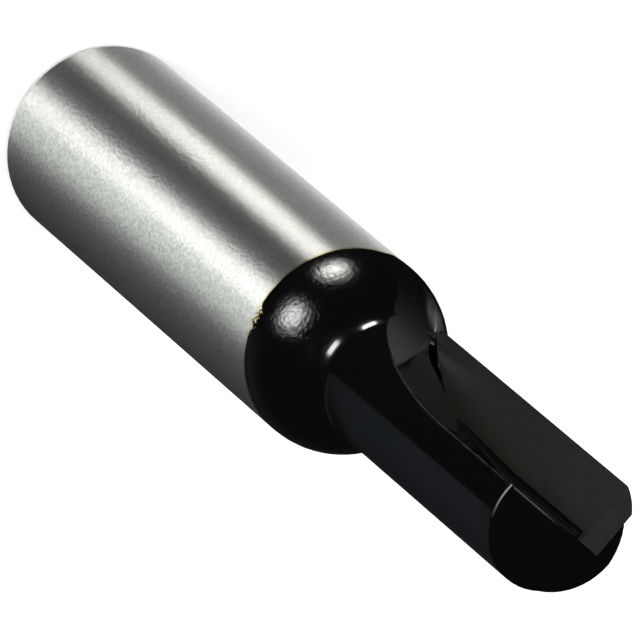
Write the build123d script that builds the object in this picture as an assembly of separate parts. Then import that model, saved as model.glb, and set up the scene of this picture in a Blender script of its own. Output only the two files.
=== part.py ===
from build123d import *
import math
import os

# Single-flute straight router bit: a turned steel body with a carbide blade brazed into it.
#
# The bit stands on the butt end of its shank. Z is its axis, with the cutting end up, and the
# origin is the centre of the butt face. X points across the gullet, towards the cutting edge,
# and Y is the way the rake face looks, which is also the way the edge travels: seen from the
# cutting end the bit turns anticlockwise, the usual hand. All sizes are in millimetres.

# ---- Shank and shoulder ----
SHANK_DIAMETER = 12.7        # plain round shank, held by a collet
SHANK_LENGTH = 40.0          # butt face to the start of the domed shoulder
BUTT_CHAMFER = 0.6           # lead-in chamfer round the butt face
NECK_FILLET = 1.2            # concave blend from the dome into the cutter body

# ---- Cutter body ----
CUTTER_LENGTH = 31.75        # start of the dome to the body's end face
CORE_DIAMETER = 7.9          # turned core, on the side away from the blade
LAND_DIAMETER = 9.3          # thicker land that backs the blade
LAND_END_ANGLE = 84.0        # where the land stops, degrees behind the X axis
RELIEF_END_ANGLE = 146.0     # where the backed-off relief has come down to the core
END_BREAK = 0.2              # broken edge round the body's end face
END_BREAK_ANGLE = 45.0

# ---- Gullet, milled and ground from the end ----
GULLET_FLOOR = 0.4           # distance of the flat floor from the axis
GULLET_RADIUS = 45.0         # long arc on which the floor rises out of the flute
GULLET_START = 21.4          # height above the dome's start where that arc begins
SHOULDER_RADIUS = 8.0        # shorter arc that lifts the floor out through the dome
SHOULDER_START = 6.1         # height above the dome's start where it takes over
RUN_OUT_SIDE = 1.87          # the narrower last pass through the dome reaches this far in Y
RUN_OUT_TOP = 4.95           # height above the dome's start where the full width begins
GULLET_CORNER = 0.8          # corner radius where the floor meets the rake plane
RAKE_OFFSET = 1.75           # the rake plane lies this far behind the axis

# ---- Carbide blade and its milled seat ----
CUTTING_DIAMETER = 10.0      # diameter swept by the cutting edge
BLADE_THICKNESS = 1.6
BLADE_HEEL = 4.4             # height of the blade's lower end above the dome's start
BLADE_OVERHANG = 0.45        # how far the end cutting edge stands above the body
END_CLEARANCE = 7.0          # slope of the blade's end behind its edge, degrees
FLANK_DROP = 0.1             # how much the blade's back corner lies inside the cutting circle
SEAT_FLOOR = 0.35            # distance of the seat's inner wall from the axis
SEAT_RADIUS = 31.5           # radius of the slitting cutter that mills the seat
SEAT_START = 19.3            # height above the dome's start where that wall turns outwards

# ---- Braze ----
BRAZE_GAP = 0.1              # thickness of the filler layer round the blade
BEAD_RADIUS = 0.62           # concave bead at the foot of the rake face
BEAD_TIP = 0.08              # what is left of that radius where the bead runs out
BEAD_START = 12.5            # height above the dome's start where it begins
VOID_RADIUS = 0.65           # unfilled pocket beside the heel, at its widest
VOID_LOW = 4.6               # heights above the dome's start between which it lies
VOID_HIGH = 8.4

SHANK_RADIUS = SHANK_DIAMETER / 2
CORE_RADIUS = CORE_DIAMETER / 2
LAND_RADIUS = LAND_DIAMETER / 2
CUTTING_RADIUS = CUTTING_DIAMETER / 2
BODY_TOP = SHANK_LENGTH + CUTTER_LENGTH
BLADE_TOP = BODY_TOP + BLADE_OVERHANG
BLADE_BACK = -RAKE_OFFSET - BLADE_THICKNESS
CLEAR = SHANK_DIAMETER       # how far the cuts are carried past the stock


def polar(radius, degrees):
    """The point at that radius and angle from the X axis, in the plane of the cross-section."""
    angle = math.radians(degrees)
    return (radius * math.cos(angle), radius * math.sin(angle))


def arc_rise(radius, start, height):
    """How far an arc that begins at the start height has moved outwards at a lower height."""
    fall = max(start - height, 0)
    return radius - math.sqrt(radius**2 - fall**2)


def turned_blank():
    """The body as it leaves the lathe: shank, ball-shaped shoulder, neck blend and core."""
    rise = math.sqrt((SHANK_RADIUS + NECK_FILLET) ** 2 - (CORE_RADIUS + NECK_FILLET) ** 2)
    neck_angle = math.degrees(math.atan2(rise, CORE_RADIUS + NECK_FILLET))
    with BuildPart() as blank:
        with BuildSketch(Plane.XZ):
            with BuildLine():
                Polyline(
                    (0, 0),
                    (SHANK_RADIUS - BUTT_CHAMFER, 0),
                    (SHANK_RADIUS, BUTT_CHAMFER),
                    (SHANK_RADIUS, SHANK_LENGTH),
                )
                CenterArc((0, SHANK_LENGTH), SHANK_RADIUS, 0, neck_angle)
                CenterArc(
                    (CORE_RADIUS + NECK_FILLET, SHANK_LENGTH + rise),
                    NECK_FILLET,
                    180 + neck_angle,
                    -neck_angle,
                )
                Polyline(
                    (CORE_RADIUS, SHANK_LENGTH + rise),
                    (CORE_RADIUS, BODY_TOP - END_BREAK),
                    (CORE_RADIUS - END_BREAK, BODY_TOP),
                    (0, BODY_TOP),
                    (0, 0),
                )
            make_face()
        revolve(axis=Axis.Z)
    return blank.part


def backed_off_land():
    """The land behind the blade and the relief that falls from it to the core."""
    middle = (LAND_END_ANGLE + RELIEF_END_ANGLE) / 2
    with BuildPart() as land:
        with BuildSketch(Plane.XY.offset(SHANK_LENGTH)):
            with BuildLine():
                Line((0, 0), (LAND_RADIUS, 0))
                CenterArc((0, 0), LAND_RADIUS, 0, -LAND_END_ANGLE)
                ThreePointArc(
                    polar(LAND_RADIUS, -LAND_END_ANGLE),
                    polar((LAND_RADIUS + CORE_RADIUS) / 2, -middle),
                    polar(CORE_RADIUS, -RELIEF_END_ANGLE),
                )
                Line(polar(CORE_RADIUS, -RELIEF_END_ANGLE), (0, 0))
            make_face()
        extrude(amount=CUTTER_LENGTH - END_BREAK)
        extrude(land.faces().sort_by(Axis.Z)[-1], amount=END_BREAK, taper=END_BREAK_ANGLE)
    return land.part


def outer_region(*edges):
    """The area on the open side of a chain of edges that runs down the bit and outwards."""
    with BuildSketch(Plane.XZ) as region:
        with BuildLine():
            add(edges)
            Polyline(edges[-1] @ 1, (CLEAR, BODY_TOP + CLEAR), edges[0] @ 0)
        make_face()
    return region.sketch


def gullet_outline():
    """Side view of the gullet: straight floor, long rise and the arc out through the dome."""
    turn = SHANK_LENGTH + GULLET_START
    sweep = math.degrees(math.asin((GULLET_START - SHOULDER_START) / GULLET_RADIUS))
    floor = Line((GULLET_FLOOR, BODY_TOP + CLEAR), (GULLET_FLOOR, turn))
    rise = CenterArc((GULLET_FLOOR + GULLET_RADIUS, turn), GULLET_RADIUS, 180, sweep)
    join = rise @ 1
    centre = join - (rise % 1).rotate(Axis.Z, -90) * SHOULDER_RADIUS
    lift = CenterArc((centre.X, centre.Y), SHOULDER_RADIUS, 180 + sweep, 90 - sweep)
    out = Line(lift @ 1, (CLEAR, (lift @ 1).Y))
    return outer_region(floor, rise, lift, out)


def seat_outline(inset=0.0):
    """Side view of the seat, or with an inset, of the blade that sits in it."""
    radius = SEAT_RADIUS - inset
    floor = SEAT_FLOOR + inset
    turn = SHANK_LENGTH + SEAT_START
    swing = math.degrees(math.acos(1 - (CLEAR - floor) / radius))
    wall = Line((floor, BODY_TOP + CLEAR), (floor, turn))
    heel = CenterArc((floor + radius, turn), radius, 180, swing)
    return outer_region(wall, heel)


def swept(outline, y_low, y_high, z_low=0.0):
    """The outline from the XZ plane made solid between two values of Y, above a height."""
    solid = Pos(0, y_high, 0) * extrude(outline, amount=y_high - y_low, dir=(0, -1, 0))
    return split(solid, bisect_by=Plane.XY.offset(z_low), keep=Keep.TOP)


def gullet_cut():
    """The narrow pass out through the dome and the full width of the flute above it.

    The wheel leaves a round corner beside the rake plane. Above the blade's heel that corner
    is square, because braze fills it there.
    """
    path = gullet_outline()
    last_pass = swept(path, -RAKE_OFFSET, RUN_OUT_SIDE)
    rake_face = last_pass.faces().sort_by(Axis.Y)[0]
    inner = rake_face.edges().filter_by(lambda edge: edge.center().X < SHANK_RADIUS)
    heel = SHANK_LENGTH + BLADE_HEEL - BRAZE_GAP
    corner = swept(path, -RAKE_OFFSET, GULLET_CORNER - RAKE_OFFSET, heel)
    full_width = swept(path, 0, CLEAR, SHANK_LENGTH + RUN_OUT_TOP)
    return fillet(inner, GULLET_CORNER) + corner + full_width


def seat_cut():
    """The square-cornered seat, behind the rake plane, that holds the blade and its braze."""
    low = SHANK_LENGTH + BLADE_HEEL - BRAZE_GAP
    return swept(seat_outline(), BLADE_BACK - BRAZE_GAP, -RAKE_OFFSET, low)


def bead_section(height, floor, radius):
    """Cross-section of the bead: a concave corner, carried on into the steel behind it."""
    root = floor - BEAD_RADIUS
    with BuildSketch(Plane.XY.offset(height)) as section:
        with BuildLine():
            foot = Line((root, -RAKE_OFFSET), (floor + radius, -RAKE_OFFSET))
            hollow = CenterArc((floor + radius, radius - RAKE_OFFSET), radius, 270, -90)
            Polyline(hollow @ 1, (root, radius - RAKE_OFFSET), foot @ 0)
        make_face()
    return section.sketch


def bead():
    """The bead of braze along the foot of the rake face, running out on the curved floor."""
    turn = SHANK_LENGTH + GULLET_START
    full = bead_section(turn, GULLET_FLOOR, BEAD_RADIUS)
    tip_floor = GULLET_FLOOR + arc_rise(GULLET_RADIUS, GULLET_START, BEAD_START)
    tip = bead_section(SHANK_LENGTH + BEAD_START, tip_floor, BEAD_TIP)
    return extrude(full, amount=BODY_TOP - turn) + loft([tip, full], ruled=True)


def unfilled_pocket():
    """The spindle-shaped pocket beside the blade's heel that the braze has not filled."""
    edge = SEAT_FLOOR + BRAZE_GAP
    low, high = (
        Vector(
            edge + arc_rise(SEAT_RADIUS - BRAZE_GAP, SEAT_START, height),
            -RAKE_OFFSET,
            SHANK_LENGTH + height,
        )
        for height in (VOID_LOW, VOID_HIGH)
    )
    along = high - low
    spindle_plane = Plane(origin=low, x_dir=along, z_dir=(0, 1, 0))
    with BuildPart() as pocket:
        with BuildSketch(spindle_plane):
            with BuildLine():
                ThreePointArc((0, 0), (along.length / 2, VOID_RADIUS), (along.length, 0))
                Line((along.length, 0), (0, 0))
            make_face()
        revolve(axis=Axis(low, along))
    return pocket.part


def carbide_blade():
    """The blade: a flat plate with a curved heel, a relieved flank and a sloping end."""
    edge = (math.sqrt(CUTTING_RADIUS**2 - RAKE_OFFSET**2), -RAKE_OFFSET)
    back_radius = CUTTING_RADIUS - FLANK_DROP
    back = (math.sqrt(back_radius**2 - BLADE_BACK**2), BLADE_BACK)
    turns = [math.degrees(math.atan2(y, x)) for x, y in (edge, back)]
    # The flank falls away with the square of the angle behind the edge.
    middle = polar(CUTTING_RADIUS - FLANK_DROP / 4, sum(turns) / 2)
    heel = SHANK_LENGTH + BLADE_HEEL
    plate = swept(seat_outline(BRAZE_GAP), BLADE_BACK, -RAKE_OFFSET, heel)
    with BuildPart() as flank:
        with BuildSketch(Plane.XY):
            with BuildLine():
                Line((0, -RAKE_OFFSET), edge)
                ThreePointArc(edge, middle, back)
                Polyline(back, (0, BLADE_BACK), (0, -RAKE_OFFSET))
            make_face()
        extrude(amount=BLADE_TOP)
    end = Plane(
        origin=(0, -RAKE_OFFSET, BLADE_TOP),
        z_dir=(0, -math.sin(math.radians(END_CLEARANCE)), math.cos(math.radians(END_CLEARANCE))),
    )
    return split(plate & flank.part, bisect_by=end, keep=Keep.BOTTOM)


def main():
    """Builds the three pieces and writes each to its own STEP file."""
    blank = turned_blank() + backed_off_land()
    blade = carbide_blade()
    seat = seat_cut()
    pocket = unfilled_pocket()
    body = blank - gullet_cut() - seat - pocket
    layer = (blank & seat) - blade
    braze = layer + (bead() - body) - pocket

    os.makedirs("parts", exist_ok=True)
    for name, piece in (("body", body), ("carbide_blade", blade), ("braze", braze)):
        export_step(piece, f"parts/{name}.step")


main()
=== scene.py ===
import logging
import math
from dataclasses import dataclass, field
from enum import Enum
from functools import cached_property

import bmesh
import bpy
from mathutils import Matrix, Vector

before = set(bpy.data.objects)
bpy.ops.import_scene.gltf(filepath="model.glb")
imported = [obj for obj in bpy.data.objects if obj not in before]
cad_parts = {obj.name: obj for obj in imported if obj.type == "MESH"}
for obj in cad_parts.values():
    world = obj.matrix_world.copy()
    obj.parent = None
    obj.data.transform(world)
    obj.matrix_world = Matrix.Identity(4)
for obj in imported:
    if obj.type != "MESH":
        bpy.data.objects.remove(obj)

# A straight router bit standing on the butt of its shank: ground steel shank, black coated
# shoulder and cutter body, carbide blade and the braze that holds it. Lengths are in metres
# and angles in degrees. Z is the bit's axis, X points across the gullet to the cutting edge
# and Y is the way the rake face looks.

Colour = tuple[float, float, float]
Ramp = tuple[float, float]  # where a ramp is 0 and where it is 1

METRE = 1.0
MM = 0.001
WHITE: Colour = (1.0, 1.0, 1.0)
AVERAGE_NOISE = 0.5
log = logging.getLogger("router_bit")

# The body's own sizes, which the patterns of its finishes follow.
BALL_RADIUS = 6.35 * MM
BALL_HEIGHT = 40.0 * MM  # its middle, where the shank ends
CORE_RADIUS = 3.95 * MM
CORE_END = 71.75 * MM
GULLET_FLOOR = 0.4 * MM  # the X of its flat stretch
IN_FRONT: Ramp = (0.0, 1.0 * MM)  # in Y, on the side that the rake face looks at

# A Mix node has sockets of one name for each kind of data. These are its colour sockets.
MIX_SHARE, MIX_FIRST, MIX_SECOND = 0, 6, 7
MIX_RESULT = 2


class Part(Enum):
    """The pieces of the bit, by the names of their nodes."""

    BODY = "body"
    BLADE = "carbide_blade"
    BRAZE = "braze"


class Value:
    """A shader socket that takes part in sums as a number does."""

    def __init__(self, tree: bpy.types.NodeTree, socket: bpy.types.NodeSocket) -> None:
        """Keeps the socket and the tree it belongs to."""
        self.tree = tree
        self.socket = socket

    def _math(self, operation: str, *values: "Value | float", clamp: bool = False) -> "Value":
        """Adds one Math node.

        Args:
            operation: The Math node's operation, such as ADD.
            values: Its inputs in order, each a Value or a number.
            clamp: Whether the result is kept between 0 and 1.

        Returns:
            The node's result.
        """
        node = self.tree.nodes.new("ShaderNodeMath")
        node.operation = operation
        node.use_clamp = clamp
        for socket, value in zip(node.inputs, values):
            if isinstance(value, Value):
                self.tree.links.new(value.socket, socket)
            else:
                socket.default_value = value
        return Value(self.tree, node.outputs[0])

    def __add__(self, other: "Value | float") -> "Value":
        """Self plus other."""
        return self._math("ADD", self, other)

    def __radd__(self, other: float) -> "Value":
        """Other plus self."""
        return self._math("ADD", other, self)

    def __sub__(self, other: "Value | float") -> "Value":
        """Self less other."""
        return self._math("SUBTRACT", self, other)

    def __rsub__(self, other: float) -> "Value":
        """Other less self."""
        return self._math("SUBTRACT", other, self)

    def __mul__(self, other: "Value | float") -> "Value":
        """Self times other."""
        return self._math("MULTIPLY", self, other)

    def __rmul__(self, other: float) -> "Value":
        """Other times self."""
        return self._math("MULTIPLY", other, self)

    def __truediv__(self, other: "Value | float") -> "Value":
        """Self over other."""
        return self._math("DIVIDE", self, other)

    def __rtruediv__(self, other: float) -> "Value":
        """Other over self."""
        return self._math("DIVIDE", other, self)

    def at_least(self, floor: float) -> "Value":
        """The higher of self and a number."""
        return self._math("MAXIMUM", self, floor)

    def size(self) -> "Value":
        """Self without its sign."""
        return self._math("ABSOLUTE", self)

    def clamped(self) -> "Value":
        """Self kept between 0 and 1."""
        return self._math("ADD", self, 0.0, clamp=True)

    def rise(self, start: float, end: float) -> "Value":
        """A straight ramp of self.

        Args:
            start: Where the ramp is 0.
            end: Where it is 1; it may be the lower of the two.

        Returns:
            The ramp, kept between 0 and 1.
        """
        return ((self - start) / (end - start)).clamped()

    def inwards(self, radius: float, depths: Ramp) -> "Value":
        """A ramp towards the middle of a round shape; self is the squared distance from it.

        Args:
            radius: The shape's radius.
            depths: How far inside the shape the ramp is 0 and 1.

        Returns:
            The ramp, kept between 0 and 1.
        """
        start, end = depths
        return self.rise((radius - start) ** 2, (radius - end) ** 2)


class Tree:
    """The nodes of a material or a world while they are being made."""

    def __init__(self, owner: bpy.types.Material | bpy.types.World) -> None:
        """Empties the node tree.

        Args:
            owner: The material or world whose tree it is.
        """
        owner.use_nodes = True
        self.tree = owner.node_tree
        self.tree.nodes.clear()

    def node(
        self,
        kind: str,
        settings: dict[str, object] | None = None,
        inputs: dict[str | int, object] | None = None,
    ) -> bpy.types.Node:
        """Adds any node that isn't part of a sum.

        Args:
            kind: The node's type name.
            settings: Its properties, set before its sockets.
            inputs: Numbers, colours, Values or sockets for its inputs, by name or number.

        Returns:
            The node.
        """
        node = self.tree.nodes.new(kind)
        for name, value in (settings or {}).items():
            setattr(node, name, value)
        for name, value in (inputs or {}).items():
            socket = node.inputs[name]
            if isinstance(value, Value):
                self.tree.links.new(value.socket, socket)
            elif isinstance(value, bpy.types.NodeSocket):
                self.tree.links.new(value, socket)
            elif socket.type == "RGBA":
                socket.default_value = (*value, 1.0)
            else:
                socket.default_value = value
        return node

    def seen_rays(self) -> Value:
        """Tells the rays that show the background from those that light things.

        Returns:
            1 for straight rays, reflections and clear glass, and 0 for others.
        """
        path = self.node("ShaderNodeLightPath")
        straight, gloss, clear = (
            Value(self.tree, path.outputs[f"Is {kind} Ray"])
            for kind in ("Camera", "Glossy", "Transmission")
        )
        return (straight + gloss + clear).clamped()


@dataclass(frozen=True)
class Noise:
    """Cloudy noise, about 0.5 on average."""

    per_metre: float  # blobs
    detail: float = 2.0  # finer layers
    grain: float = 0.5  # the strength of each finer layer beside the one before


class Finish(Tree):
    """A material while it is being made."""

    def __init__(self, name: str) -> None:
        """Makes an empty material.

        Args:
            name: The material's name.
        """
        self.material = bpy.data.materials.new(name)
        super().__init__(self.material)
        self.place = self.node("ShaderNodeTexCoord").outputs["Object"]
        split = self.node("ShaderNodeSeparateXYZ", inputs={"Vector": self.place})
        self.x, self.y, self.z = (Value(self.tree, split.outputs[axis]) for axis in "XYZ")

    @cached_property
    def girth(self) -> Value:
        """The squared distance from the bit's axis."""
        return self.x * self.x + self.y * self.y

    def noise(self, pattern: Noise) -> Value:
        """Noise over the piece.

        Args:
            pattern: How coarse and how grainy it is.

        Returns:
            The noise at each place.
        """
        inputs = {
            "Vector": self.place,
            "Scale": pattern.per_metre,
            "Detail": pattern.detail,
            "Roughness": pattern.grain,
        }
        return Value(self.tree, self.node("ShaderNodeTexNoise", inputs=inputs).outputs[0])

    def mix(
        self,
        share: Value,
        first: Colour | bpy.types.NodeSocket,
        second: Colour | bpy.types.NodeSocket,
    ) -> bpy.types.NodeSocket:
        """A colour between two others.

        Args:
            share: 0 gives the first and 1 the second.
            first: A colour or a colour socket.
            second: A colour or a colour socket.

        Returns:
            The mixed colour's socket.
        """
        inputs = {MIX_SHARE: share, MIX_FIRST: first, MIX_SECOND: second}
        return self.node("ShaderNodeMix", {"data_type": "RGBA"}, inputs).outputs[MIX_RESULT]

    def bump(
        self,
        height: Value,
        depth: float,
        strength: Value | float = 1.0,
        under: bpy.types.NodeSocket | None = None,
    ) -> bpy.types.NodeSocket:
        """A normal that leans with a height.

        Args:
            height: The height, in any unit.
            depth: How many metres a height of 1 stands for.
            strength: How much of the lean is used, from 0 to 1.
            under: A normal that is leaned already.

        Returns:
            The normal's socket.
        """
        inputs = {"Height": height, "Distance": depth, "Strength": strength}
        if under:
            inputs["Normal"] = under
        return self.node("ShaderNodeBump", inputs=inputs).outputs[0]

    def principled(self, **sockets: object) -> bpy.types.NodeSocket:
        """A surface, with words joined by _ for its sockets' names."""
        inputs = {name.replace("_", " "): value for name, value in sockets.items()}
        return self.node("ShaderNodeBsdfPrincipled", inputs=inputs).outputs[0]

    def done(self, surface: bpy.types.NodeSocket) -> bpy.types.Material:
        """Joins the surface to the output and gives the material."""
        self.node("ShaderNodeOutputMaterial", inputs={"Surface": surface})
        return self.material


@dataclass(frozen=True)
class GroundSteel:
    """Centreless ground steel, bright and finely mottled."""

    colour: Colour = (0.85, 0.85, 0.83)
    dull: Colour = (0.65, 0.65, 0.63)
    fringe: Colour = (0.56, 0.45, 0.2)
    metal: float = 0.97
    roughness: float = 0.44
    roughness_range: float = 0.15
    grinding_marks: float = 1.0
    marks_turn: float = 0.25
    mottle: Noise = Noise(4000.0, detail=3.0, grain=0.65)
    mottle_depth: float = 0.02 * MM
    bright_spots: Ramp = (0.3, 0.7)

    def surface(self, finish: Finish, fringe: Value) -> bpy.types.NodeSocket:
        """The uncoated steel.

        Args:
            finish: The material.
            fringe: 1 where the steel is browned.

        Returns:
            The surface's socket.
        """
        mottle = finish.noise(self.mottle)
        clean = finish.mix(mottle.rise(*self.bright_spots), self.dull, self.colour)
        return finish.principled(
            Base_Color=finish.mix(fringe, clean, self.fringe),
            Metallic=self.metal,
            Roughness=self.roughness + self.roughness_range * (mottle - AVERAGE_NOISE),
            Anisotropic=self.grinding_marks,
            Anisotropic_Rotation=self.marks_turn,
            Normal=finish.bump(mottle, self.mottle_depth),
        )


@dataclass(frozen=True)
class MilledFaces:
    """The milled and ground faces, which lie inside the turned shape."""

    in_ball: Ramp = (0.02 * MM, 0.06 * MM)
    in_core: Ramp = (0.02 * MM, 0.05 * MM)
    below_end: Ramp = (CORE_END, CORE_END - 0.3 * MM)

    def mask(self, finish: Finish) -> Value:
        """Finds those faces by their depth inside the turning.

        Args:
            finish: The material.

        Returns:
            1 on them.
        """
        up = finish.z - BALL_HEIGHT
        in_ball = (finish.girth + up * up).inwards(BALL_RADIUS, self.in_ball)
        in_core = finish.girth.inwards(CORE_RADIUS, self.in_core)
        return (in_ball + in_core).clamped() * finish.z.rise(*self.below_end)


@dataclass(frozen=True)
class RunOut:
    """The face where the gullet runs out through the shoulder, on which a lighter grey is
    painted as a sheen that is brightest at its top.
    """

    slant: float = 1.47
    past_floor: Ramp = (-47.15 * MM, -46.95 * MM)
    upwards: tuple[Ramp, Ramp] = ((42.0 * MM, 49.6 * MM), (42.0 * MM, 46.0 * MM))  # multiplied

    def mask(self, finish: Finish) -> Value:
        """Finds that face, past the end of the gullet's flat floor.

        Args:
            finish: The material.

        Returns:
            1 at its top, fading downwards ever faster.
        """
        mask = (self.slant * finish.y - finish.z).rise(*self.past_floor)
        for ramp in self.upwards:
            mask = mask * finish.z.rise(*ramp)
        return mask


@dataclass(frozen=True)
class HeelHighlight:
    """A painted highlight beside the blade's heel: lighter grey painted on the coat, which is
    also rougher there.
    """

    slant: float = 1.55
    under_slant: Ramp = (42.0 * MM, 41.4 * MM)
    from_below: Ramp = (42.2 * MM, 43.2 * MM)
    from_above: Ramp = (45.0 * MM, 44.4 * MM)
    outwards: Ramp = (4.0 * MM, 4.4 * MM)
    forwards: Ramp = (-2.6 * MM, -1.9 * MM)
    strength: float = 0.45

    def mask(self, finish: Finish) -> Value:
        """Finds where the highlight is painted.

        Args:
            finish: The material.

        Returns:
            Its strength in the middle, fading to 0 at its edges.
        """
        edge = (finish.z + self.slant * finish.y).rise(*self.under_slant)
        length = finish.z.rise(*self.from_below) * finish.z.rise(*self.from_above)
        width = finish.x.rise(*self.outwards) * finish.y.rise(*self.forwards)
        return edge * length * width * self.strength


@dataclass(frozen=True)
class GulletEdge:
    """A patchy, lighter grey line along the edge where the gullet's floor meets the core."""

    floor_end: float = 61.4 * MM
    rise_radius: float = 45.0 * MM
    depth: Ramp = (0.06 * MM, 0.03 * MM)
    below_floor: Ramp = (-0.12 * MM, -0.036 * MM)
    upwards: Ramp = (50.5 * MM, 53.0 * MM)
    patches: Noise = Noise(1500.0)
    patch_levels: Ramp = (0.3, 0.6)

    def mask(self, finish: Finish) -> Value:
        """Draws a narrow patchy line along that edge.

        Args:
            finish: The material.

        Returns:
            1 on the line.
        """
        below = (self.floor_end - finish.z).at_least(0.0)
        floor = GULLET_FLOOR + below * below / (2 * self.rise_radius)
        line = (finish.x - floor).rise(*self.below_floor)
        line = finish.girth.inwards(CORE_RADIUS, self.depth) * line
        line = line * finish.z.rise(*self.upwards) * finish.y.rise(*IN_FRONT)
        return line * finish.noise(self.patches).rise(*self.patch_levels)


@dataclass(frozen=True)
class EndEdges:
    """The edges of the end face: a painted highlight along its rim, and a fainter lighter line
    along the end of the gullet's floor.
    """

    rim_height: Ramp = (CORE_END - 0.2 * MM, CORE_END - 0.19 * MM)
    rim_depth: Ramp = (0.1 * MM, 0.06 * MM)
    rim_start: Ramp = (-1.8 * MM, -0.3 * MM)
    floor_height: Ramp = (CORE_END - 0.03 * MM, CORE_END - 0.01 * MM)
    floor_depth: Ramp = (GULLET_FLOOR - 0.12 * MM, GULLET_FLOOR - 0.05 * MM)
    floor_start: Ramp = (-0.2 * MM, 1.2 * MM)
    floor_strength: float = 0.25

    def mask(self, finish: Finish) -> Value:
        """Finds both edges.

        Args:
            finish: The material.

        Returns:
            1 on the rim in front of the rake face, and less along the gullet's floor.
        """
        rim = finish.z.rise(*self.rim_height) * finish.girth.inwards(CORE_RADIUS, self.rim_depth)
        rim = rim * finish.x.rise(*self.rim_start) * finish.y.rise(*IN_FRONT)
        floor = finish.x.rise(*self.floor_depth) * finish.z.rise(*self.floor_height)
        floor = floor * finish.y.rise(*self.floor_start) * self.floor_strength
        return (rim + floor).clamped()


@dataclass(frozen=True)
class Neck:
    """The neck above the ball, where the coat has gathered and is a little duller."""

    low: float = 44.64 * MM
    steepest: float = 45.52 * MM
    high: float = 47.2 * MM
    slope: float = 0.55
    dullness: float = 0.07
    dull_from_below: Ramp = (44.6 * MM, 45.4 * MM)
    dull_from_above: Ramp = (46.8 * MM, 46.2 * MM)

    def thickness(self, finish: Finish) -> Value:
        """The coat's extra thickness, which falls off upwards.

        Args:
            finish: The material.

        Returns:
            The thickness in metres, ever steeper up to the steepest place and flatter above.
        """
        below = finish.z.rise(self.low, self.steepest)
        above = finish.z.rise(self.high, self.steepest)
        foot = (self.steepest - self.low) / 2
        tail = (self.high - self.steepest) / 2
        return self.slope * (foot * (1.0 - below * below) + tail * (above * above))

    def roughness(self, finish: Finish) -> Value:
        """How much rougher the coat is there."""
        where = finish.z.rise(*self.dull_from_below) * finish.z.rise(*self.dull_from_above)
        return self.dullness * where


@dataclass(frozen=True)
class BlackCoat:
    """The glossy black coat, only a film: finely scratched on the shoulder, with a painted sheen
    on the run-out, painted highlights by the blade's heel and on the end face's rim, and lighter
    lines along the gullet's edges.
    """

    colour: Colour = (0.0012, 0.0012, 0.0013)
    # The lighter grey of the painted sheen on the run-out and of the painted highlight by the
    # heel.
    painted_sheen: Colour = (0.045, 0.046, 0.047)
    gullet_edge_grey: Colour = (0.03, 0.03, 0.027)
    # The grey of the painted rim highlight and of the line at the end of the gullet's floor.
    end_edge_grey: Colour = (0.2, 0.2, 0.185)
    shine: float = 2.1
    roughness: float = 0.09
    scratches: Noise = Noise(3800.0, detail=5.0, grain=0.6)
    scratch_depth: float = 0.03 * MM
    scratches_end: Ramp = (45.4 * MM, 44.6 * MM)
    scratched_roughness: float = 0.1
    scratched_range: float = 0.35
    milled_faces: MilledFaces = MilledFaces()
    run_out: RunOut = RunOut()
    heel_highlight: HeelHighlight = HeelHighlight()
    gullet_edge: GulletEdge = GulletEdge()
    end_edges: EndEdges = EndEdges()
    neck: Neck = Neck()

    def surface(self, finish: Finish) -> bpy.types.NodeSocket:
        """The coat's surface.

        Args:
            finish: The material.

        Returns:
            The surface's socket.
        """
        milled = self.milled_faces.mask(finish)
        # Painted highlight beside the blade's heel; its mask also roughens the coat there.
        highlight_patch = self.heel_highlight.mask(finish)
        scratches = finish.noise(self.scratches)
        scratched = finish.z.rise(*self.scratches_end) * (1.0 - milled)
        rougher = self.scratched_roughness - self.roughness
        rougher = rougher + self.scratched_range * (scratches - AVERAGE_NOISE)
        # Painted sheen on the run-out and painted highlight beside the heel, both in that
        # lighter grey.
        painted_sheen = (milled * self.run_out.mask(finish) + highlight_patch).clamped()
        colour = finish.mix(painted_sheen, self.colour, self.painted_sheen)
        colour = finish.mix(self.gullet_edge.mask(finish), colour, self.gullet_edge_grey)
        # Painted highlight on the end face's rim, and a fainter lighter line at the end of the
        # gullet's floor.
        colour = finish.mix(self.end_edges.mask(finish), colour, self.end_edge_grey)
        roughness = self.roughness + scratched * rougher + highlight_patch + self.neck.roughness(finish)
        scratched_normal = finish.bump(scratches, self.scratch_depth, scratched)
        neck = self.neck.thickness(finish)
        normal = finish.bump(neck, METRE, 1.0 - milled, scratched_normal)
        return finish.principled(
            Base_Color=colour, Roughness=roughness, IOR=self.shine, Normal=normal
        )


@dataclass(frozen=True)
class Carbide:
    """Matt ground carbide, mottled, with olive heat stains beside the gullet."""

    colour: Colour = (0.0058, 0.0058, 0.0056)
    dark: Colour = (0.0038, 0.0038, 0.0037)
    stain: Colour = (0.0085, 0.0078, 0.001)
    roughness: float = 0.55
    shine: float = 1.45
    blotches: Noise = Noise(1100.0, detail=3.0)
    blotch_levels: Ramp = (0.38, 0.62)
    clouds: Noise = Noise(500.0, detail=4.0)
    cloud_levels: Ramp = (0.32, 0.52)
    stained_inwards: Ramp = (3.6 * MM, 1.0 * MM)
    stained_downwards: Ramp = (72.0 * MM, 60.0 * MM)
    grain: Noise = Noise(5000.0)
    grain_depth: float = 0.004 * MM

    def surface(self, finish: Finish) -> bpy.types.NodeSocket:
        """The carbide's surface.

        Args:
            finish: The material.

        Returns:
            The surface's socket.
        """
        blotches = finish.noise(self.blotches).rise(*self.blotch_levels)
        plain = finish.mix(blotches, self.dark, self.colour)
        stained = finish.x.rise(*self.stained_inwards) * finish.z.rise(*self.stained_downwards)
        stained = (stained * finish.noise(self.clouds).rise(*self.cloud_levels)).clamped()
        return finish.principled(
            Base_Color=finish.mix(stained, plain, self.stain),
            Roughness=self.roughness,
            IOR=self.shine,
            Normal=finish.bump(finish.noise(self.grain), self.grain_depth),
        )


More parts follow.
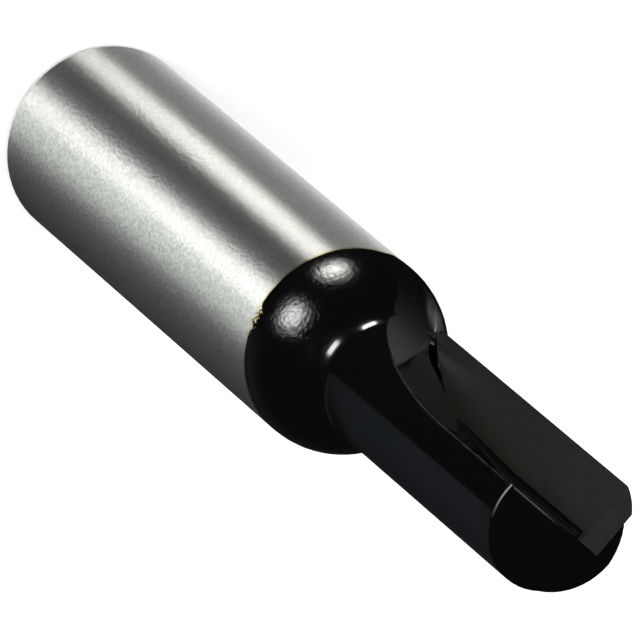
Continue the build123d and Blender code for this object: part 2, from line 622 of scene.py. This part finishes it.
@dataclass(frozen=True)
class BrazeFiller:
    """Brazing filler, smooth and dark under the coat."""

    colour: Colour = (0.0015, 0.0015, 0.0015)
    roughness: float = 0.2
    shine: float = 1.25
    flow: Noise = Noise(700.0)
    flow_depth: float = 0.03 * MM

    def surface(self, finish: Finish) -> bpy.types.NodeSocket:
        """The filler's surface.

        Args:
            finish: The material.

        Returns:
            The surface's socket.
        """
        return finish.principled(
            Base_Color=self.colour,
            Roughness=self.roughness,
            IOR=self.shine,
            Normal=finish.bump(finish.noise(self.flow), self.flow_depth),
        )


@dataclass
class TurnedBody:
    """The steel body: uncoated on the shank, coated from the paint's edge upwards."""

    paint_edge: float = BALL_HEIGHT
    edge_width: Ramp = (-0.01 * MM, 0.01 * MM)
    waver: Noise = Noise(700.0, detail=4.0)
    waver_reach: float = 0.12 * MM
    drip_at: float = 1.2 * MM  # in Y
    drip_width: float = 0.9 * MM
    drip_reach: float = 0.5 * MM
    drip_side: Ramp = (0.0, 1.0 * MM)
    chips: Noise = Noise(5000.0, detail=3.0)
    chip_level: float = 0.6  # the coat goes where the chips' noise is lower
    chip_reach: float = 2.2 * MM
    chipped_in_x: tuple[Ramp, Ramp] = ((-1.0 * MM, -1.3 * MM), (-3.1 * MM, -2.7 * MM))
    chipped_in_y: Ramp = (4.6 * MM, 5.2 * MM)
    fringe_width: float = 0.3 * MM
    fringe_patches: Noise = Noise(300.0, detail=1.0)
    fringe_levels: Ramp = (0.15, 0.45)
    steel: GroundSteel = GroundSteel()
    coat: BlackCoat = BlackCoat()

    def dress(self) -> None:
        """Gives the body its two finishes: steel below the paint's edge, the coat above."""
        finish = Finish("ground steel and black coat")
        chipped = self._chipped(finish)
        height = self._height(finish, chipped)
        patches = finish.noise(self.fringe_patches).rise(*self.fringe_levels)
        fringe = (height.rise(-self.fringe_width, 0.0) * (patches + chipped)).clamped()
        painted = height.rise(*self.edge_width)
        steel = self.steel.surface(finish, fringe)
        coat = self.coat.surface(finish)
        mixed = finish.node("ShaderNodeMixShader", inputs={0: painted, 1: steel, 2: coat})
        dress(Part.BODY, finish.done(mixed.outputs[0]))

    def _chipped(self, finish: Finish) -> Value:
        """1 on the stretch of the edge where the coat has chipped."""
        first, last = self.chipped_in_x
        return finish.x.rise(*first) * finish.x.rise(*last) * finish.y.rise(*self.chipped_in_y)

    def _height(self, finish: Finish, chipped: Value) -> Value:
        """How high a place is above the paint's edge.

        Args:
            finish: The material.
            chipped: 1 where the coat has chipped.

        Returns:
            The height in metres, negative on the bare steel.
        """
        waver = (finish.noise(self.waver) - AVERAGE_NOISE) * (2 * self.waver_reach)
        drip = (1.0 - (finish.y - self.drip_at).size() / self.drip_width).clamped()
        drip = drip * finish.x.rise(*self.drip_side) * self.drip_reach
        chips = chipped * (finish.noise(self.chips) - self.chip_level) * self.chip_reach
        return finish.z + waver + drip - self.paint_edge + chips


@dataclass
class Blade:
    """The carbide blade."""

    carbide: Carbide = Carbide()

    def dress(self) -> None:
        """Gives the blade its finish."""
        finish = Finish("ground carbide")
        dress(Part.BLADE, finish.done(self.carbide.surface(finish)))


@dataclass
class Braze:
    """The filler round the blade and the bead at the foot of its face."""

    filler: BrazeFiller = BrazeFiller()

    def dress(self) -> None:
        """Gives the filler its finish."""
        finish = Finish("braze filler")
        dress(Part.BRAZE, finish.done(self.filler.surface(finish)))


def dress(part: Part, material: bpy.types.Material) -> None:
    """Puts a material on every slot of a piece.

    Args:
        part: Which piece.
        material: The material.
    """
    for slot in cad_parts[part.value].material_slots:
        slot.material = material
    log.info("%s wears %s", part.value, material.name)


def new_object(name: str, mesh: bmesh.types.BMesh) -> bpy.types.Object:
    """Turns a bmesh into an object at the origin.

    Args:
        name: The object's name.
        mesh: The mesh, which is freed.

    Returns:
        The object, linked to the scene.
    """
    data = bpy.data.meshes.new(name)
    mesh.to_mesh(data)
    mesh.free()
    thing = bpy.data.objects.new(name, data)
    bpy.context.scene.collection.objects.link(thing)
    return thing


def only_reflections_see(thing: bpy.types.Object) -> None:
    """Hides a thing from everything but mirrors and gloss.

    Args:
        thing: The thing to hide.
    """
    thing.visible_camera = False
    thing.visible_diffuse = False
    thing.visible_transmission = False
    thing.visible_volume_scatter = False
    thing.visible_shadow = False


def direction(azimuth: float, elevation: float) -> Vector:
    """The unit vector of a direction.

    Args:
        azimuth: Degrees from Y towards X.
        elevation: Degrees above the level.

    Returns:
        The vector.
    """
    turn, lift = math.radians(azimuth), math.radians(elevation)
    return Vector(
        (math.sin(turn) * math.cos(lift), math.cos(turn) * math.cos(lift), math.sin(lift))
    )


@dataclass
class Floor:
    """The plain pale floor."""

    radius: float = 3.0
    sides: int = 96
    colour: Colour = (0.86, 0.86, 0.86)
    glow: float = 0.12

    def build(self) -> None:
        """Makes the floor, which glows a little for the rays that show it."""
        mesh = bmesh.new()
        bmesh.ops.create_circle(mesh, cap_ends=True, segments=self.sides, radius=self.radius)
        floor = new_object("floor", mesh)
        finish = Finish("pale floor")
        matt = finish.node("ShaderNodeBsdfDiffuse", inputs={"Color": self.colour})
        strength = finish.seen_rays() * self.glow
        glow = finish.node("ShaderNodeEmission", inputs={"Strength": strength})
        both = finish.node(
            "ShaderNodeAddShader", inputs={0: matt.outputs[0], 1: glow.outputs[0]}
        )
        floor.data.materials.append(finish.done(both.outputs[0]))
        log.info("floor")


@dataclass
class DarkTent:
    """A dark tent with a felt floor round the lamps, which only reflections see.

    It keeps the black coat black and lets the lamps draw bright streaks on the steel.
    """

    radius: float = 1.4
    sides: int = 48
    rings: int = 24
    floor_gap: float = 0.05 * MM
    colour: Colour = (0.008, 0.0085, 0.009)

    def build(self) -> None:
        """Makes the tent: a ball cut off just above the floor and closed again."""
        mesh = bmesh.new()
        bmesh.ops.create_uvsphere(
            mesh, u_segments=self.sides, v_segments=self.rings, radius=self.radius
        )
        cut = bmesh.ops.bisect_plane(
            mesh,
            geom=mesh.verts[:] + mesh.edges[:] + mesh.faces[:],
            plane_co=(0, 0, self.floor_gap),
            plane_no=(0, 0, 1),
            clear_inner=True,
        )
        rim = [item for item in cut["geom_cut"] if isinstance(item, bmesh.types.BMEdge)]
        bmesh.ops.contextual_create(mesh, geom=rim)
        tent = new_object("dark_tent", mesh)
        finish = Finish("dark felt")
        felt = finish.node("ShaderNodeEmission", inputs={"Color": self.colour})
        tent.data.materials.append(finish.done(felt.outputs[0]))
        only_reflections_see(tent)
        log.info("dark tent")


@dataclass
class GlowingFloorCard:
    """Part of a ring of blue grey card on the floor, which only reflections see; it is no lamp,
    yet it glows by its own emission.

    It lies round the side of the bit that is away from the blade.
    """

    inner: float = 31.0 * MM
    outer: float = 47.0 * MM
    azimuth: float = -42.0
    sweep: float = 145.0
    steps: int = 48
    lift: float = 0.1 * MM
    colour: Colour = (0.055, 0.065, 0.075)
    dark: Colour = (0.0, 0.0, 0.0)
    back_level: float = 0.36
    front_level: float = 0.86
    forwards: Ramp = (-20.0 * MM, 15.0 * MM)
    inner_level: float = 0.8
    outwards: Ramp = (32.0 * MM, 44.0 * MM)

    def build(self) -> None:
        """Lays the card, whose painted glow darkens towards the back and towards its inner edge.
        """
        mesh = bmesh.new()
        out, lift = direction(self.azimuth, 0.0), Vector((0.0, 0.0, self.lift))
        ends = [mesh.verts.new(out * radius + lift) for radius in (self.inner, self.outer)]
        side = mesh.edges.new(ends)
        bmesh.ops.spin(
            mesh,
            geom=[*ends, side],
            cent=(0, 0, 0),
            axis=(0, 0, 1),
            angle=math.radians(self.sweep),
            steps=self.steps,
        )
        card = new_object("glowing_floor_card", mesh)
        finish = Finish("blue grey card")
        level_range = self.front_level - self.back_level
        level = self.back_level + level_range * finish.y.rise(*self.forwards)
        outwards = finish.girth.rise(*(radius**2 for radius in self.outwards))
        level = level * (self.inner_level + (1.0 - self.inner_level) * outwards)
        shade = finish.mix(level, self.dark, self.colour)
        # The card's colour is a painted glow, brighter in front and towards its outer edge.
        glow = finish.node("ShaderNodeEmission", inputs={"Color": shade})
        card.data.materials.append(finish.done(glow.outputs[0]))
        only_reflections_see(card)
        log.info("floor card")


@dataclass
class Softbox:
    """A square soft lamp that looks at the shoulder."""

    name: str
    azimuth: float
    elevation: float
    distance: float
    size: float
    brightness: float
    colour: Colour = WHITE

    def build(self, aim: Vector) -> None:
        """Hangs the lamp, with a power that keeps its brightness at any size.

        Args:
            aim: The point it looks at.
        """
        out = direction(self.azimuth, self.elevation)
        lamp = bpy.data.lights.new(self.name, "AREA")
        lamp.shape = "SQUARE"
        lamp.size = self.size
        lamp.energy = self.brightness * self.size**2 * math.pi
        lamp.color = self.colour
        thing = bpy.data.objects.new(self.name, lamp)
        thing.location = aim + out * self.distance
        thing.rotation_mode = "QUATERNION"
        thing.rotation_quaternion = out.to_track_quat("Z", "Y")
        thing.visible_camera = False
        bpy.context.scene.collection.objects.link(thing)
        log.info("lamp %s", self.name)


@dataclass
class Camera:
    """A long lens that looks down at the bit from in front, well turned about its own axis."""

    elevation: float = 60.0632
    turn: float = 130.4907
    distance: float = 781.512 * MM
    lens: float = 735.12  # in millimetres, as is the sensor
    sensor: float = 36.0
    aim_to_right: float = 1.35941 * MM
    aim_below: float = 1.72799 * MM
    nearest: float = 0.01
    farthest: float = 20.0

    def build(self, aim: Vector) -> None:
        """Makes the scene's camera.

        Args:
            aim: The point that lies to the right of the view's middle and below it.
        """
        ahead = -direction(0.0, self.elevation)
        level = ahead.cross(Vector((0, 0, 1))).normalized()
        upright = level.cross(ahead)
        turn = math.radians(self.turn)
        right = level * math.cos(turn) + upright * math.sin(turn)
        up = right.cross(ahead)
        data = bpy.data.cameras.new("camera")
        data.lens = self.lens
        data.sensor_width = self.sensor
        data.clip_start = self.nearest
        data.clip_end = self.farthest
        thing = bpy.data.objects.new("camera", data)
        place = aim - right * self.aim_to_right + up * self.aim_below - ahead * self.distance
        axes = Matrix((right, up, -ahead)).transposed().to_4x4()
        thing.matrix_world = Matrix.Translation(place) @ axes
        bpy.context.scene.collection.objects.link(thing)
        bpy.context.scene.camera = thing
        log.info("camera")


# The lamps, by azimuth, elevation and distance. Each draws a streak or a spot of its own.
LAMPS = (
    Softbox("front lamp", -7.0, -7.0, 0.12, size=0.042, brightness=6.6),
    Softbox(
        "side lamp", 48.5, -26.0, 0.075, size=0.022, brightness=10.2, colour=(1.0, 0.985, 0.95)
    ),
    Softbox(
        "overhead lamp", -31.0, 61.0, 0.9, size=0.4, brightness=11.2, colour=(0.955, 1.0, 0.965)
    ),
    Softbox("left panel", -74.0, 58.0, 0.9, size=0.4, brightness=0.2, colour=(0.85, 1.0, 0.9)),
    Softbox("right panel", 128.0, 43.0, 0.9, size=0.44, brightness=5.2),
    Softbox("slim panel", 96.0, 62.0, 0.9, size=0.3, brightness=3.4),
    Softbox("back card", 153.0, -24.0, 0.09, size=0.03, brightness=0.6, colour=(0.9, 1.0, 0.98)),
)


@dataclass
class Studio:
    """Floor, tent, card, lamps, camera and world."""

    aim: Vector = field(default_factory=lambda: Vector((0, 0, BALL_HEIGHT)))
    daylight: float = 0.65
    floor: Floor = field(default_factory=Floor)
    tent: DarkTent = field(default_factory=DarkTent)
    card: GlowingFloorCard = field(default_factory=GlowingFloorCard)
    camera: Camera = field(default_factory=Camera)
    lamps: tuple[Softbox, ...] = LAMPS

    def build(self) -> None:
        """Sets everything up."""
        self.floor.build()
        self.tent.build()
        self.card.build()
        for lamp in self.lamps:
            lamp.build(self.aim)
        self.camera.build(self.aim)
        bpy.context.scene.world = self._world()
        bpy.context.scene.view_settings.view_transform = "Standard"

    def _world(self) -> bpy.types.World:
        """Makes the world.

        Returns:
            A world that is white where it is seen and soft daylight elsewhere.
        """
        world = bpy.data.worlds.new("studio")
        tree = Tree(world)
        strength = self.daylight + (1.0 - self.daylight) * tree.seen_rays()
        sky = tree.node("ShaderNodeBackground", inputs={"Color": WHITE, "Strength": strength})
        tree.node("ShaderNodeOutputWorld", inputs={"Surface": sky.outputs[0]})
        return world


def main() -> None:
    """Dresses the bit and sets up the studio."""
    logging.basicConfig(level=logging.INFO, format="%(name)s: %(message)s")
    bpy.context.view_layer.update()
    TurnedBody().dress()
    Blade().dress()
    Braze().dress()
    Studio().build()


if __name__ == "__main__":
    main()
